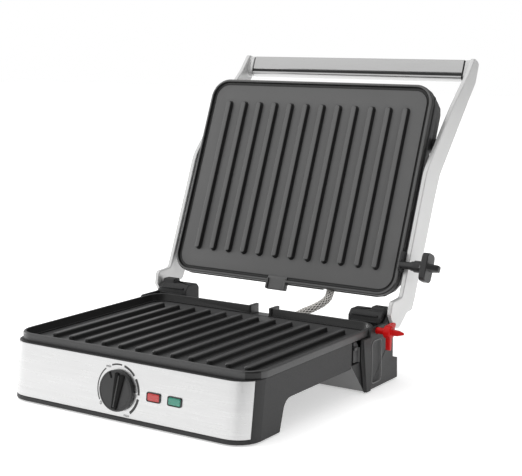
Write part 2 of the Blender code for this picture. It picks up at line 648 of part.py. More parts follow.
def make_head(head, looks):
    """The floating upper housing with its bosses, element and reflector."""
    shell = piece("upper_housing", stack(head_rings(0, HEAD_SKIRT_Z, HEAD_TOP_Z)), looks["black_moulding"], head)
    tool("head_dome", stack(dome_rings(0, HEAD_TOP_Z - 6)), shell, "UNION")
    for side in (-1, 1):
        label = "right" if side > 0 else "left"
        sections = ((140, TILT_BOSS_RADIUS), (147, TILT_BOSS_RADIUS), (147.8, TILT_BOSS_RADIUS - 0.8))
        boss = rod([(side * x, radius) for x, radius in sections], TILT_Y, TILT_Z)
        tool(f"{label}_tilt_boss", boss, shell, "UNION")
    tool("head_hollow", stack(head_rings(WALL, HEAD_SKIRT_Z - 4, HEAD_TOP_Z - WALL)), shell)
    tool("dome_hollow", stack(dome_rings(WALL, HEAD_TOP_Z - 9)), shell)
    for side in (-1, 1):
        label = "right" if side > 0 else "left"
        tool(f"{label}_boss_bore", rod([(side * 132, 4.3), (side * 155, 4.3)], TILT_Y, TILT_Z), shell)
    tool("conduit_mouth", along_y([(108, 5.6), (122, 5.6)], 61, 81), shell)
    tool("conduit_slot", box((55.4, 66.6), (108, 122), (70, 81)), shell)
    path = element_path(112, -86, 60, 26, 24, 80.6)
    tube("upper_heating_element", path, 2.8, looks["element_steel"], head)
    lid_sheet = stack([rounded(128, -106, 100, 16, z) for z in (84.0, 84.8)])
    piece("upper_reflector", lid_sheet, looks["aluminised_sheet"], head)


def make_height_knob(head, looks):
    """The turning height stop on the right of the head, and the bracket that carries it."""
    outline = [(HEIGHT_KNOB_Y - 15, 64, 3), (HEIGHT_KNOB_Y + 7, 58.6, 5), (HEIGHT_KNOB_Y + 7, 70, 4),
               (HEIGHT_KNOB_Y + 3, 79.5, 3), (HEIGHT_KNOB_Y - 15, 79.5, 3)]
    bracket = piece("height_knob_bracket", across(filleted(outline, 2), 145.3, 147.8), looks["black_moulding"], head)
    tool("height_knob_bore", rod([(140, 4.3), (152, 4.3)], HEIGHT_KNOB_Y, HEIGHT_KNOB_Z), bracket)
    axis = pivot("height_knob_axis", (0, HEIGHT_KNOB_Y, HEIGHT_KNOB_Z), head)
    knob = piece("height_knob", rod([(145.6, 4.0), (158, 4.0), (160, 5.0), (175, 5.0)], HEIGHT_KNOB_Y, HEIGHT_KNOB_Z),
                 looks["knob_black"], axis)
    y, z = HEIGHT_KNOB_Y, HEIGHT_KNOB_Z
    blade = filleted([(y - 15, z - 9, 5), (y + 15, z - 9, 5), (y + 15, z + 9, 5), (y - 15, z + 9, 5)])
    tool("height_knob_blade", across(blade, 173, 180), knob, "UNION")
    ridge = filleted([(y - 4, z - 9, 2), (y + 4, z - 9, 2), (y + 4, z + 9, 2), (y - 4, z + 9, 2)], 2)
    tip = [(y + (b - y) * 0.8, z + (c - z) * 0.35) for b, c in ridge]
    crossbar = stack([[(165, b, c) for b, c in tip], [(176, b, c) for b, c in ridge],
                      [(HEIGHT_KNOB_END_X, b, c) for b, c in tip]])
    tool("height_knob_crossbar", crossbar, knob, "UNION")


def make_release_lever(base, looks):
    """The red lever that frees the lid to open flat."""
    axis = pivot("release_lever_axis", (0, LEVER_Y, LEVER_Z), base)
    y, z = LEVER_Y, LEVER_Z
    lever = piece("release_lever", rod([(145.9, 3.4), (157.2, 3.4), (157.2, 6.5), (164, 6.5), (165, 5.8)], y, z),
                  looks["red_plastic"], axis)
    finger = stack([[(x, y + b * size, z + c * size) for b, c in ((-2.6, -3.2), (2.6, -3.2), (2.6, 3.2), (-2.6, 3.2))]
                    for x, size in ((160, 1.0), (172, 0.8), (LEVER_END_X, 0.3))])
    tool("lever_finger", finger, lever, "UNION")
    wing = filleted([(y - 2.4, z + 2, 0), (y - 2.0, z - 19, 1.8), (y + 2.0, z - 19, 1.8), (y + 3.4, z + 2, 0)], 2)
    tool("lever_wing", across(wing, 158.4, 163.4), lever, "UNION")
    hook = filleted([(y - 1, z + 2, 0), (y + 14, z + 1.5, 2), (y + 17, z + 6.5, 2), (y + 9, z + 7.5, 3), (y - 1, z + 6, 2)], 2)
    tool("lever_hook", across(hook, 157.9, 161), lever, "UNION")


def make_plate_latches(base, looks):
    """Spring latches in the gap behind each side of the tub, pressed inwards to free the plate."""
    for side in (-1, 1):
        label = "right" if side > 0 else "left"
        axis = pivot(f"{label}_latch_axis", (0, 66, 45), base)
        outline = [(61.2, 36, 1), (70.5, 36, 1), (70.5, 53, 1.5), (66.8, 57.2, 1), (61.2, 57.2, 1)]
        latch = piece(f"{label}_plate_latch", across(filleted(outline, 2), *sorted((side * 140.5, side * 143.0))),
                      looks["black_moulding"], axis)
        tab = [(59.4, 49, 1), (66, 49, 1), (66, 52.5, 1), (59.4, 52.5, 1)]
        tool(f"{label}_latch_tab", across(filleted(tab, 2), *sorted((side * 142, side * 145.2))), latch, "UNION")


def make_conduit(base, looks):
    """The braided sleeve that carries the upper element's wires across the hinge."""
    route = [(61, 158, 88.4), (61.2, 155.6, 82), (60, 152.6, 76), (55, 148.6, 70.5), (45.5, 143.5, 64.5),
             (36.5, 138, 60), (31, 133, 55), (29.6, 130.4, 49), (29.6, 130, 41)]
    points = smooth_route([Vector(point) for point in route], 26)
    tube("conduit_sleeve", points, 4.8, looks["braid"], base, resolution=2)


def main():
    for old in list(bpy.data.objects):
        bpy.data.objects.remove(old, do_unlink=True)
    looks = {
        "black_moulding": finish("black_moulding", (0.055, 0.055, 0.055), 0.5),
        "knob_black": finish("knob_black", (0.04, 0.04, 0.042), 0.42),
        "nonstick_lower": finish("nonstick_lower", (0.035, 0.035, 0.036), 0.34),
        "nonstick_upper": finish("nonstick_upper", (0.12, 0.12, 0.12), 0.5),
        "brushed_steel": finish("brushed_steel", (0.72, 0.72, 0.71), 0.3, 1.0),
        "arm_aluminium": finish("arm_aluminium", (0.68, 0.68, 0.67), 0.45, 0.9),
        "zinc": finish("zinc", (0.5, 0.5, 0.5), 0.35, 1.0),
        "element_steel": finish("element_steel", (0.32, 0.31, 0.3), 0.45, 1.0),
        "aluminised_sheet": finish("aluminised_sheet", (0.62, 0.62, 0.62), 0.4, 1.0),
        "rubber": finish("rubber", (0.03, 0.03, 0.03), 0.8),
        "red_plastic": finish("red_plastic", (0.75, 0.01, 0.01), 0.35),
        "red_lens": finish("red_lens", (0.6, 0.03, 0.03), 0.2),
        "green_lens": finish("green_lens", (0.02, 0.38, 0.26), 0.2),
        "clear_glass": finish("clear_glass", (0.85, 0.85, 0.82), 0.1),
        "thermostat_body": finish("thermostat_body", (0.75, 0.72, 0.64), 0.6),
        "braid": finish("braid", (0.55, 0.53, 0.5), 0.6, 0.3),
    }
    press = pivot("press_frame", (0.0, 0.0, 0.0))
    press.location = (-CENTRE_X * MM, -CENTRE_Y * MM, 0)
    lid = pivot("lid_hinge_axis", (0, HINGE_Y, HINGE_Z), press)
    lid.rotation_euler.x = LIE_BACK
    head = pivot("head_tilt_axis", (0, TILT_Y, TILT_Z), lid)
    tray_axis = pivot("drip_tray_axis", (0, 128, 6), press)

    shell = make_base_shell(press, looks)
    panel = make_front_panel(press, looks)
    panel_holes(press, panel, shell)
    make_lenses(press, looks)
    make_control(press, looks)
    make_bottom_cover(press, looks)
    make_heater(press, looks)
    make_rear_housing(press, looks)
    make_inlet(press, looks)
    make_drip_tray(tray_axis, looks)
    make_feet(press, looks)
    make_plate_latches(press, looks)
    for side in (-1, 1):
        make_hinge_side(press, looks, side)
    make_lower_plate(press, looks)
    make_release_lever(press, looks)
    make_conduit(press, looks)
    make_arms(lid, looks)
    make_handle(lid, looks)
    make_head(head, looks)
    make_upper_plate(head, looks)
    make_height_knob(head, looks)


main()
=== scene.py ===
"""The looks of an open panini press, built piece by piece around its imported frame."""

import json
import math

import bmesh
import bpy
from mathutils import Matrix, Vector

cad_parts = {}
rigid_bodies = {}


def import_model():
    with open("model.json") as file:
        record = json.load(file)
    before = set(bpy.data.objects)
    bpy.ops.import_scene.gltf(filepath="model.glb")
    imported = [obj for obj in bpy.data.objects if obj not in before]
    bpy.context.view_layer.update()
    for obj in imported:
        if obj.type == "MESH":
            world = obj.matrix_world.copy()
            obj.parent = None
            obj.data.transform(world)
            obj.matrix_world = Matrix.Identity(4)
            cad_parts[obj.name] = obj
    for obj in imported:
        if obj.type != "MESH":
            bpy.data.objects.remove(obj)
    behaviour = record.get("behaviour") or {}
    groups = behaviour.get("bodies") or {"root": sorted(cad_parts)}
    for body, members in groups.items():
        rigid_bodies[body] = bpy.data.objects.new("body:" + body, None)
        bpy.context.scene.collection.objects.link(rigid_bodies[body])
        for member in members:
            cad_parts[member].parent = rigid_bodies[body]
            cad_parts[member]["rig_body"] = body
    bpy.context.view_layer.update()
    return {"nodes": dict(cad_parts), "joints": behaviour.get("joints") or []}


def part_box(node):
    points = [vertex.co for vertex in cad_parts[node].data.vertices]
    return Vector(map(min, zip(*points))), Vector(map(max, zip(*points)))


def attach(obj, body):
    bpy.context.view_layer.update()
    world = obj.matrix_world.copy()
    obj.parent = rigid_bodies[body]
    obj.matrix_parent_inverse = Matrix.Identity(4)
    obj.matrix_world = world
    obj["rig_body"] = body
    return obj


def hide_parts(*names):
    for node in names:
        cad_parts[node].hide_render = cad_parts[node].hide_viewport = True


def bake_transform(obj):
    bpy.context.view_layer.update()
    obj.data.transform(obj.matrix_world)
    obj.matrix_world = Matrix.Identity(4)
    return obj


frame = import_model()

# ---------------------------------------------------------------- studio
# A photographer's table: a pale sweep that glows a little, three large soft lamps that polished
# metal does not mirror, a small one low on the left that it does, and a black card that shows
# only in reflections. The camera stands to the right, a little above the lower plate.
AIM = Vector((0.1131, -0.1825, 0.1816))
DISTANCE = 1.097
AZIMUTH = math.radians(33.07)
ELEVATION = math.radians(9.22)
ROLL = math.radians(0.31)
SENSOR_WIDTH = 36
FOCAL_LENGTH = 86.09

away = Vector((math.sin(AZIMUTH) * math.cos(ELEVATION),
               -math.cos(AZIMUTH) * math.cos(ELEVATION),
               math.sin(ELEVATION)))
level = Vector((math.cos(AZIMUTH), math.sin(AZIMUTH), 0))
turned = Matrix((level, away.cross(level), away)).transposed() @ Matrix.Rotation(ROLL, 3, "Z")
camera = bpy.data.objects.new("camera", bpy.data.cameras.new("camera"))
camera.data.sensor_width = SENSOR_WIDTH
camera.data.lens = FOCAL_LENGTH
camera.matrix_world = Matrix.Translation(AIM + away * DISTANCE) @ turned.to_4x4()
bpy.context.scene.collection.objects.link(camera)
bpy.context.scene.camera = camera
bpy.context.scene.view_settings.view_transform = "Standard"

SKY_BRIGHT = Vector((-0.62, -0.42, 0.66))
SKY_DIM = 0.12
surround = bpy.data.worlds.new("surround")
surround.use_nodes = True
sky = surround.node_tree
heading = sky.nodes.new("ShaderNodeTexCoord")
toward = sky.nodes.new("ShaderNodeVectorMath")
toward.operation = "DOT_PRODUCT"
toward.inputs[1].default_value = SKY_BRIGHT
sky.links.new(heading.outputs["Generated"], toward.inputs[0])
fall = sky.nodes.new("ShaderNodeMapRange")
fall.inputs["From Min"].default_value = -0.9
fall.inputs["From Max"].default_value = 0.95
fall.inputs["To Min"].default_value = SKY_DIM
fall.inputs["To Max"].default_value = 1.0
sky.links.new(toward.outputs["Value"], fall.inputs["Value"])
ray = sky.nodes.new("ShaderNodeLightPath")
seen = sky.nodes.new("ShaderNodeMix")
seen.inputs["B"].default_value = 1.0
sky.links.new(ray.outputs["Is Camera Ray"], seen.inputs["Factor"])
sky.links.new(fall.outputs["Result"], seen.inputs["A"])
sky.links.new(seen.outputs["Result"], sky.nodes["Background"].inputs["Strength"])
sky.nodes["Background"].inputs["Color"].default_value = (1.0, 1.0, 1.0, 1)
bpy.context.scene.world = surround


PRESS_MIDDLE = Vector((0, 0, 0.12))


def softbox(name, place, size, power, mirrored=False):
    """A square lamp aimed at the middle of the press, seen in polished metal only if mirrored."""
    lamp = bpy.data.objects.new(name, bpy.data.lights.new(name, "AREA"))
    lamp.data.size = size
    lamp.data.energy = power
    lamp.visible_glossy = mirrored
    lamp.location = place
    lamp.rotation_euler = (PRESS_MIDDLE - place).to_track_quat("-Z", "Y").to_euler()
    bpy.context.scene.collection.objects.link(lamp)


softbox("key_lamp", Vector((-1.2, -1.0, 1.3)), 0.8, 12)
softbox("top_lamp", Vector((-0.3, 0.5, 1.8)), 1.0, 8)
softbox("fill_lamp", Vector((1.5, -0.6, 0.5)), 0.7, 7)
softbox("edge_lamp", Vector((-1.5, -0.1, 0.15)), 0.16, 3, mirrored=True)

SHARP_OVER = math.radians(38)


def link_piece(name, shape, look, merge=1e-6):
    """An object from a bmesh that is already in place, smooth shaded but for its real edges."""
    bmesh.ops.remove_doubles(shape, verts=shape.verts, dist=merge)
    bmesh.ops.recalc_face_normals(shape, faces=shape.faces)
    if shape.calc_volume(signed=True) < 0:
        bmesh.ops.reverse_faces(shape, faces=shape.faces)
    mesh = bpy.data.meshes.new(name)
    shape.to_mesh(mesh)
    shape.free()
    mesh.shade_smooth()
    mesh.set_sharp_from_angle(angle=SHARP_OVER)
    mesh.materials.append(look)
    made = bpy.data.objects.new(name, mesh)
    bpy.context.scene.collection.objects.link(made)
    return made


def finish(name, dark, light, rough, metallic=0.0, cloud=30.0, grain=1800.0, relief=0.00003,
           stretch=(1, 1, 1)):
    """A procedural finish: colour drifts in clouds, and a fine grain varies roughness and relief."""
    made = bpy.data.materials.new(name)
    made.use_nodes = True
    tree = made.node_tree
    shader = tree.nodes["Principled BSDF"]
    shader.inputs["Metallic"].default_value = metallic
    place = tree.nodes.new("ShaderNodeTexCoord")
    mapping = tree.nodes.new("ShaderNodeMapping")
    mapping.inputs["Scale"].default_value = stretch
    tree.links.new(place.outputs["Object"], mapping.inputs["Vector"])
    clouds = tree.nodes.new("ShaderNodeTexNoise")
    clouds.inputs["Scale"].default_value = cloud
    clouds.inputs["Detail"].default_value = 5.0
    tree.links.new(mapping.outputs["Vector"], clouds.inputs["Vector"])
    blend = tree.nodes.new("ShaderNodeMix")
    blend.data_type = "RGBA"
    blend.inputs["A"].default_value = (*dark, 1)
    blend.inputs["B"].default_value = (*light, 1)
    tree.links.new(clouds.outputs["Fac"], blend.inputs["Factor"])
    tree.links.new(blend.outputs["Result"], shader.inputs["Base Color"])
    fine = tree.nodes.new("ShaderNodeTexNoise")
    fine.inputs["Scale"].default_value = grain
    fine.inputs["Detail"].default_value = 3.0
    tree.links.new(mapping.outputs["Vector"], fine.inputs["Vector"])
    span = tree.nodes.new("ShaderNodeMapRange")
    span.inputs["From Min"].default_value = 0.25
    span.inputs["From Max"].default_value = 0.75
    span.inputs["To Min"].default_value = rough[0]
    span.inputs["To Max"].default_value = rough[1]
    tree.links.new(fine.outputs["Fac"], span.inputs["Value"])
    tree.links.new(span.outputs["Result"], shader.inputs["Roughness"])
    bump = tree.nodes.new("ShaderNodeBump")
    bump.inputs["Distance"].default_value = relief
    tree.links.new(fine.outputs["Fac"], bump.inputs["Height"])
    tree.links.new(bump.outputs["Normal"], shader.inputs["Normal"])
    return made


def sockets(look):
    """The inputs of a finish's own shader."""
    return look.node_tree.nodes["Principled BSDF"].inputs


def turn(degrees, axis="Z"):
    """A turn about an axis through the origin."""
    return Matrix.Rotation(math.radians(degrees), 4, axis)


def grid(half):
    """A square sheet that lies flat, by half its side."""
    sheet = bmesh.new()
    bmesh.ops.create_grid(sheet, x_segments=1, y_segments=1, size=half)
    return sheet


CARD_HALF = 0.7
CARD_PLACE = Matrix.Translation((0.66, -0.52, 0.3)) @ turn(59) @ turn(90, "X")
card_look = finish("card_black", (0.004, 0.004, 0.004), (0.006, 0.006, 0.006), (0.8, 0.9))
card = grid(CARD_HALF)
bmesh.ops.transform(card, matrix=CARD_PLACE, verts=card.verts)
dark_card = link_piece("dark_card", card, card_look)
dark_card.visible_camera = False
dark_card.visible_diffuse = False
dark_card.visible_shadow = False

TABLE_HALF = 6.0
TABLE_GLOW = 0.45
table_look = finish("table_sweep", (0.86, 0.86, 0.86), (0.9, 0.9, 0.9), (0.75, 0.85), cloud=2.0,
                    grain=400.0)
sockets(table_look)["Emission Color"].default_value = (1, 1, 1, 1)
sockets(table_look)["Emission Strength"].default_value = TABLE_GLOW
link_piece("table_top", grid(TABLE_HALF), table_look)

# ---------------------------------------------------------------- black mouldings
# The tub, the rear foot and the hinge covers are injection moulded in glass-filled black nylon.
# Their faces carry a fine spark-eroded texture, and every outer edge leaves the mould with a
# small radius, which is what catches the light.
MM = 0.001
moulded = finish("black_nylon", (0.013, 0.013, 0.0135), (0.02, 0.02, 0.0205), (0.42, 0.6),
                 grain=1500.0, relief=0.00005)
sockets(moulded)["Specular IOR Level"].default_value = 0.4


def take_over(piece, *nodes):
    """The piece rides where its first CAD node rides and stands for them all."""
    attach(piece, frame["nodes"][nodes[0]]["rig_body"])
    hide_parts(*nodes)
    return piece


LOOSE_WITHIN = 0.03 * MM
FLAT_WITHIN = math.radians(0.8)
ROUND_OVER = math.radians(30)


def joined_copy(node):
    """A bmesh of a CAD node with its loose triangles merged and its flat faces made whole."""
    shape = bmesh.new()
    shape.from_mesh(frame["nodes"][node].data)
    bmesh.ops.remove_doubles(shape, verts=shape.verts, dist=LOOSE_WITHIN)
    bmesh.ops.dissolve_limit(shape, angle_limit=FLAT_WITHIN, verts=shape.verts,
                             edges=shape.edges)
    return shape


def rounded_copy(node, name, look, radius=0.6 * MM, segments=2):
    """The CAD node's own shape with rounded edges."""
    shape = joined_copy(node)
    bmesh.ops.recalc_face_normals(shape, faces=shape.faces)
    piece = link_piece(name, shape, look)
    edge = piece.modifiers.new("edge_radius", "BEVEL")
    edge.width = radius
    edge.segments = segments
    edge.limit_method = "ANGLE"
    edge.angle_limit = ROUND_OVER
    edge.use_clamp_overlap = False
    edge.miter_outer = "MITER_ARC"
    edge.harden_normals = False
    return take_over(piece, node)


rounded_copy("base_shell", "tub", moulded)
rear_foot = rounded_copy("rear_housing", "rear_foot", moulded)
# Painted light: the rear foot's faces that look forward take a much lighter, glossier grey than the
# black nylon, standing for the light that falls on them.
painted_light_nylon = finish("nylon_painted_light", (0.11, 0.11, 0.11), (0.145, 0.145, 0.145), (0.3, 0.4),
                 grain=1500.0, relief=0.00002)
FACES_FRONT = -0.3
rear_foot.data.materials.append(painted_light_nylon)
for face in rear_foot.data.polygons:
    if face.normal.y < FACES_FRONT:
        face.material_index = 1
for node, name in (("front_bottom_cover", "front_leg_cover"),
                   ("left_foot_cover", "left_rear_cover"),
                   ("right_foot_cover", "right_rear_cover")):
    rounded_copy(node, name, moulded, 0.4 * MM)

# ---------------------------------------------------------------- steel front
# A 1 mm stainless sheet, bent round the two front corners and clipped into a step of the tub.
# It is brushed along its length, so its scratches run level all the way round.
steel = finish("brushed_stainless", (0.57, 0.57, 0.57), (0.63, 0.63, 0.63), (0.24, 0.4),
               metallic=1.0, cloud=5.0, grain=60.0, relief=0.000006, stretch=(0.4, 0.4, 40.0))
rounded_copy("front_panel", "steel_front", steel, 0.25 * MM)

# ---------------------------------------------------------------- temperature dial
# Five printed arcs grow from a hairline to a bold stroke as the heat rises, with a nought,
# a low mark and a high mark between them. They are ink on the steel, a few hundredths thick.
joints = {joint["name"]: joint for joint in frame["joints"]}
dial = joints["control_knob_turn"]
outward = Vector(dial["axis"]).normalized()
sideways = Vector((1, 0, 0))
panel_plane = Matrix.Translation(Vector(dial["pos_m"])) @ Matrix(
    (sideways, outward.cross(sideways), outward)).transposed().to_4x4()
INK_RADIUS = 24.4 * MM
INK_LIFT = 0.08 * MM
INK_ARCS = ((130, 209, 1.2), (83, 111, 1.5), (42, 76, 2.1), (-2, 34, 2.4), (-51, -11, 2.6))
INK_MARKS = (("0", 217, 4.0), ("min", 121, 3.0), ("max", -62, 3.0))
MARK_RADIUS = INK_RADIUS + 0.3 * MM
FONT_SIZE = 1.3

ink = finish("printed_ink", (0.02, 0.02, 0.02), (0.03, 0.03, 0.03), (0.4, 0.5), grain=900.0,
             relief=0.00001)


def added(piece, body):
    """A piece that stands for no CAD node: it rides on the body."""
    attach(piece, body)


def settled_mesh(drawn):
    """The mesh that an object comes to when its curve or its modifiers are worked out."""
    graph = bpy.context.evaluated_depsgraph_get()
    return bpy.data.meshes.new_from_object(drawn.evaluated_get(graph))


def drawn_shape(curve):
    """A bmesh of a curve or of lettering."""
    drawn = bpy.data.objects.new(f"{curve.name}_curve", curve)
    bpy.context.scene.collection.objects.link(drawn)
    bpy.context.view_layer.update()
    shape = bmesh.new()
    shape.from_mesh(settled_mesh(drawn))
    bpy.data.objects.remove(drawn)
    return shape


arcs = bmesh.new()
for start, end, width in INK_ARCS:
    inner = arcs.verts.new((INK_RADIUS - width / 2 * MM, 0, 0))
    outer = arcs.verts.new((INK_RADIUS + width / 2 * MM, 0, 0))
    stroke = arcs.edges.new((inner, outer))
    bmesh.ops.transform(arcs, matrix=turn(start), verts=[inner, outer])
    bmesh.ops.spin(arcs, geom=[inner, outer, stroke], cent=(0, 0, 0), axis=(0, 0, 1),
                   angle=math.radians(end - start), steps=16)
bmesh.ops.solidify(arcs, geom=arcs.faces[:], thickness=INK_LIFT)
bmesh.ops.translate(arcs, vec=(0, 0, INK_LIFT), verts=arcs.verts)
bmesh.ops.transform(arcs, matrix=panel_plane, verts=arcs.verts)
added(link_piece("dial_arcs", arcs, ink), "base")

for words, angle, height in INK_MARKS:
    letters = bpy.data.curves.new(f"dial_{words}", "FONT")
    letters.body = words
    letters.size = height * FONT_SIZE * MM
    letters.align_x = "CENTER"
    letters.align_y = "CENTER"
    letters.extrude = INK_LIFT / 2
    letters.resolution_u = 3
    mark = drawn_shape(letters)
    at = math.radians(angle)
    bmesh.ops.translate(mark, verts=mark.verts, vec=(
        MARK_RADIUS * math.cos(at), MARK_RADIUS * math.sin(at), INK_LIFT))
    bmesh.ops.transform(mark, matrix=panel_plane, verts=mark.verts)
    added(link_piece(f"dial_mark_{words}", mark, ink), "base")

# ---------------------------------------------------------------- temperature knob
# A disc moulded in satin black, with a finger grip of two bars and a web across it and a small
# pointer at its rim. It pushes onto the thermostat's flatted spindle.
KNOB_RADIUS = 19.6 * MM
KNOB_BACK = 0.6 * MM
KNOB_FACE = 4.4 * MM
KNOB_ROLL = 1.0 * MM
KNOB_GROOVE = [(0.9 * MM, 0), (0.25 * MM, -0.25 * MM), (0.25 * MM, 0), (0.25 * MM, 0.25 * MM),
               (8 * MM, 0)]
GRIP_FOOT = KNOB_FACE - 0.6 * MM
GRIP_RISE = 1.9 * MM
GRIP_LENGTH = 17.2 * MM
GRIP_PLACE = Matrix.Translation((2.6 * MM, 0, 0)) @ turn(-9)
BAR_HALF = 1.9 * MM
BAR_TAPER = 0.35
BAR_SPLAY = 2.6
BAR_FROM_MIDDLE = 2.5 * MM
POINTER_MIDDLE = KNOB_RADIUS - 4.0 * MM
POINTER_TURN = 24
satin_black = finish("satin_black", (0.012, 0.012, 0.0125), (0.02, 0.02, 0.0205), (0.34, 0.46),
                     grain=1300.0, relief=0.00002)


def round_outline(shape, half_x, half_y, radius, segments=8, centre=(0, 0, 0)):
    """Adds one flat face with round corners and returns it."""
    made = bmesh.ops.create_grid(shape, x_segments=1, y_segments=1, size=1.0)["verts"]
    face = made[0].link_faces[0]
    bmesh.ops.scale(shape, vec=(half_x, half_y, 1), verts=made)
    bmesh.ops.translate(shape, vec=centre, verts=made)
    rounds = bmesh.ops.bevel(shape, geom=list(face.verts), offset=radius, offset_type="OFFSET",
                             segments=segments, profile=0.5, affect="VERTICES", material=-1)
    return rounds["verts"][0].link_faces[0]


def step_in(shape, face, steps):
    """Insets the face again and again, by (inward, up) steps along its normal."""
    for inward, up in steps:
        bmesh.ops.inset_region(shape, faces=[face], thickness=max(inward, 1e-6), depth=up,
                               use_even_offset=True, use_boundary=True)


def raise_up(shape, outline, steps):
    """Steps a flat outline up into a closed form, with a new face where it stood."""
    standing = list(outline.verts)
    step_in(shape, outline, steps)
    bmesh.ops.contextual_create(shape, geom=standing)


def extrude_up(shape, face, height):
    """Extrudes a flat face upwards and returns it in its new place."""
    made = bmesh.ops.extrude_face_region(shape, geom=[face])["geom"]
    top = next(item for item in made if isinstance(item, bmesh.types.BMFace))
    bmesh.ops.translate(shape, vec=(0, 0, height), verts=top.verts)
    bmesh.ops.recalc_face_normals(shape, faces=shape.faces)
    return top


def roll(radius, first, last, count):
    """The (inward, up) steps of an arc of a rolled edge, between two angles from the level."""
    turns = [math.radians(first + (last - first) * i / count) for i in range(count + 1)]
    return [(radius * (math.cos(a) - math.cos(b)), radius * (math.sin(b) - math.sin(a)))
            for a, b in zip(turns, turns[1:])]


knob = bmesh.new()
bmesh.ops.create_circle(knob, cap_ends=True, segments=96, radius=KNOB_RADIUS)
bmesh.ops.translate(knob, vec=(0, 0, KNOB_BACK), verts=knob.verts)
knob_face = extrude_up(knob, knob.faces[:][0], KNOB_FACE - KNOB_BACK - KNOB_ROLL)
step_in(knob, knob_face, roll(KNOB_ROLL, 0, 90, 5) + KNOB_GROOVE)
bmesh.ops.transform(knob, matrix=panel_plane, verts=knob.verts)
take_over(link_piece("temperature_knob", knob, satin_black), "control_knob")

grip_black = finish("grip_black", (0.003, 0.003, 0.003), (0.006, 0.006, 0.006), (0.45, 0.55),
                    grain=1300.0, relief=0.00002)
sockets(grip_black)["Specular IOR Level"].default_value = 0.12
for side, out in (("left", -1), ("right", 1)):
    bar = bmesh.new()
    foot = round_outline(bar, BAR_HALF, GRIP_LENGTH, 1.4 * MM, 5, (0, 0, GRIP_FOOT))
    for corner in foot.verts:
        corner.co.x *= 1 + BAR_TAPER * corner.co.y / GRIP_LENGTH
    raise_up(bar, foot, [(0.1 * MM, GRIP_RISE), (0.2 * MM, 0.35 * MM), (0.35 * MM, 0.2 * MM)])
    bar_place = Matrix.Translation((out * BAR_FROM_MIDDLE, 0, 0)) @ turn(-out * BAR_SPLAY)
    bmesh.ops.transform(bar, matrix=panel_plane @ GRIP_PLACE @ bar_place, verts=bar.verts)
    added(link_piece(f"knob_grip_{side}", bar, grip_black), "control")

web = bmesh.new()
foot = round_outline(web, 1.0 * MM, GRIP_LENGTH - 1.5 * MM, 0.8 * MM, 5, (0, 0, GRIP_FOOT))
raise_up(web, foot, [(0.3 * MM, GRIP_RISE + 0.8 * MM), (0.3 * MM, 0.2 * MM)])
bmesh.ops.transform(web, matrix=panel_plane @ GRIP_PLACE, verts=web.verts)
added(link_piece("knob_grip_web", web, satin_black), "control")

pointer = bmesh.new()
foot = round_outline(pointer, 1.1 * MM, 3.2 * MM, 0.6 * MM, 4,
                     (0, POINTER_MIDDLE, KNOB_FACE - 0.5 * MM))
raise_up(pointer, foot, [(0.1 * MM, 0.85 * MM), (0.2 * MM, 0.1 * MM)])
bmesh.ops.transform(pointer, matrix=panel_plane @ turn(POINTER_TURN), verts=pointer.verts)
added(link_piece("knob_pointer", pointer, grip_black), "control")


def dress(look, *nodes):
    """CAD nodes that keep their own shape get a finish."""
    for node in nodes:
        frame["nodes"][node].material_slots[0].material = look


zinc = finish("zinc_plate", (0.5, 0.5, 0.49), (0.62, 0.62, 0.6), (0.3, 0.42), metallic=1.0,
              cloud=120.0)
dress(zinc, "control_shaft")

# ---------------------------------------------------------------- signal lenses
# Two clear-coloured acrylic lenses snapped in from the back, red for mains and green for ready.
# Each has fine moulded flutes behind its face and sits in a thin dark frame.


def lens_look(name, deep, bright):
    """Glossy tinted acrylic with upright flutes that show through its face."""
    made = finish(name, deep, bright, (0.08, 0.16), cloud=220.0, grain=900.0, relief=0.000004)
    tree = made.node_tree
    shader = tree.nodes["Principled BSDF"]
    shader.inputs["Coat Weight"].default_value = 0.8
    shader.inputs["Coat Roughness"].default_value = 0.04
    shader.inputs["Subsurface Weight"].default_value = 0.2
    shader.inputs["Subsurface Scale"].default_value = 0.002
    place = tree.nodes.new("ShaderNodeTexCoord")
    flutes = tree.nodes.new("ShaderNodeTexWave")
    flutes.bands_direction = "X"
    flutes.inputs["Scale"].default_value = 260.0
    tree.links.new(place.outputs["Object"], flutes.inputs["Vector"])
    blend = next(node for node in tree.nodes if node.bl_idname == "ShaderNodeMix")
    tree.links.new(flutes.outputs["Fac"], blend.inputs["Factor"])
    return made


